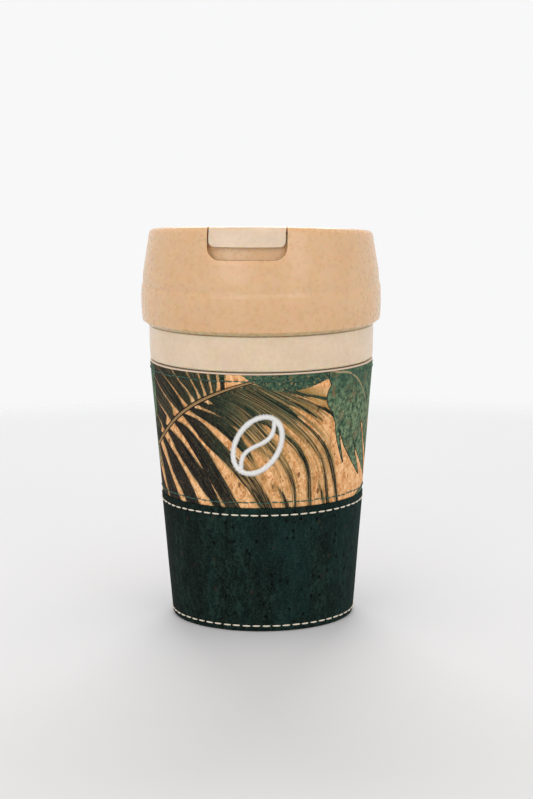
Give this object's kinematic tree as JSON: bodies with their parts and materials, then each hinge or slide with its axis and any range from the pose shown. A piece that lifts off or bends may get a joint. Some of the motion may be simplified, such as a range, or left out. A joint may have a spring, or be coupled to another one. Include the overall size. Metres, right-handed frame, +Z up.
{
  "type": "collapsible travel cup",
  "caption": "Travel cup with a screw lid, a flip-up drinking flap, a telescoping inner wall and a sewn cork sleeve.",
  "frame": {"origin": "centre of the foot, on the surface that the cup stands on", "axes": "+Z up along the cup's axis, -Y towards the drinking side, +X to the drinker's right"},
  "size_m": [0.0962, 0.0962, 0.1609],
  "materials": {
    "lid_tan": "satin, faintly speckled",
    "cup_cream": "satin, faintly speckled",
    "flap_cream": "satin, faintly speckled",
    "inner_tan": "satin",
    "silicone": "matte, slightly translucent",
    "pin_steel": "drawn",
    "lining_fabric": "woven",
    "printed_cork": "printed palm leaves on cork, matte",
    "green_cork": "dyed cork, matte",
    "cream_thread": "twisted thread",
    "green_thread": "twisted thread",
    "white_thread": "satin stitch"
  },
  "bodies": {
    "sleeve": {"sleeve_lining": "lining_fabric", "printed_panel": "printed_cork", "green_band": "green_cork", "panel_top_stitching": "green_thread", "panel_hem_stitching": "green_thread", "band_top_stitching": "cream_thread", "band_bottom_stitching": "cream_thread", "back_seam_stitching": "green_thread", "emblem_embroidery": "white_thread"},
    "cup": {"rim_ring": "cup_cream"},
    "upper_ring": {"upper_wall_ring": "cup_cream", "upper_ring_seal": "silicone"},
    "lower_ring": {"lower_wall_ring": "cup_cream", "lower_ring_seal": "silicone"},
    "base": {"base_cup": "cup_cream", "base_seal": "silicone", "foot_pad": "silicone"},
    "gasket": {"lid_gasket": "silicone"},
    "lid": {"lid_shell": "lid_tan", "lid_thread_ring": "inner_tan", "flap_hinge_pin": "pin_steel"},
    "flap": {"drink_flap": "flap_cream", "flap_seal_ring": "silicone"}
  },
  "joints": [
    {"name": "cup_lift", "type": "slide", "parent": "sleeve", "child": "cup", "axis": [0, 0, 1], "range_m": [0, 0.12]},
    {"name": "upper_ring_slide", "type": "slide", "parent": "cup", "child": "upper_ring", "axis": [0, 0, 1], "range_m": [0, 0.026]},
    {"name": "lower_ring_slide", "type": "slide", "parent": "upper_ring", "child": "lower_ring", "axis": [0, 0, 1], "range_m": [0, 0.026]},
    {"name": "base_slide", "type": "slide", "parent": "lower_ring", "child": "base", "axis": [0, 0, 1], "range_m": [0, 0.026]},
    {"name": "lid_lift", "type": "slide", "parent": "cup", "child": "gasket", "axis": [0, 0, 1], "range_m": [0, 0.032]},
    {"name": "lid_turn", "type": "hinge", "parent": "gasket", "child": "lid", "pos_m": [0, 0, 0.13], "axis": [0, 0, 1], "range_deg": [0, 360]},
    {"name": "flap_hinge", "type": "hinge", "parent": "lid", "child": "flap", "pos_m": [0, -0.00421, 0.15444], "axis": [-1, 0, 0], "range_deg": [0, 120]}
  ],
  "couplings": [
    {"joint": "lid_lift", "follows": "lid_turn", "m_per_rad": 0.0050929}
  ]
}
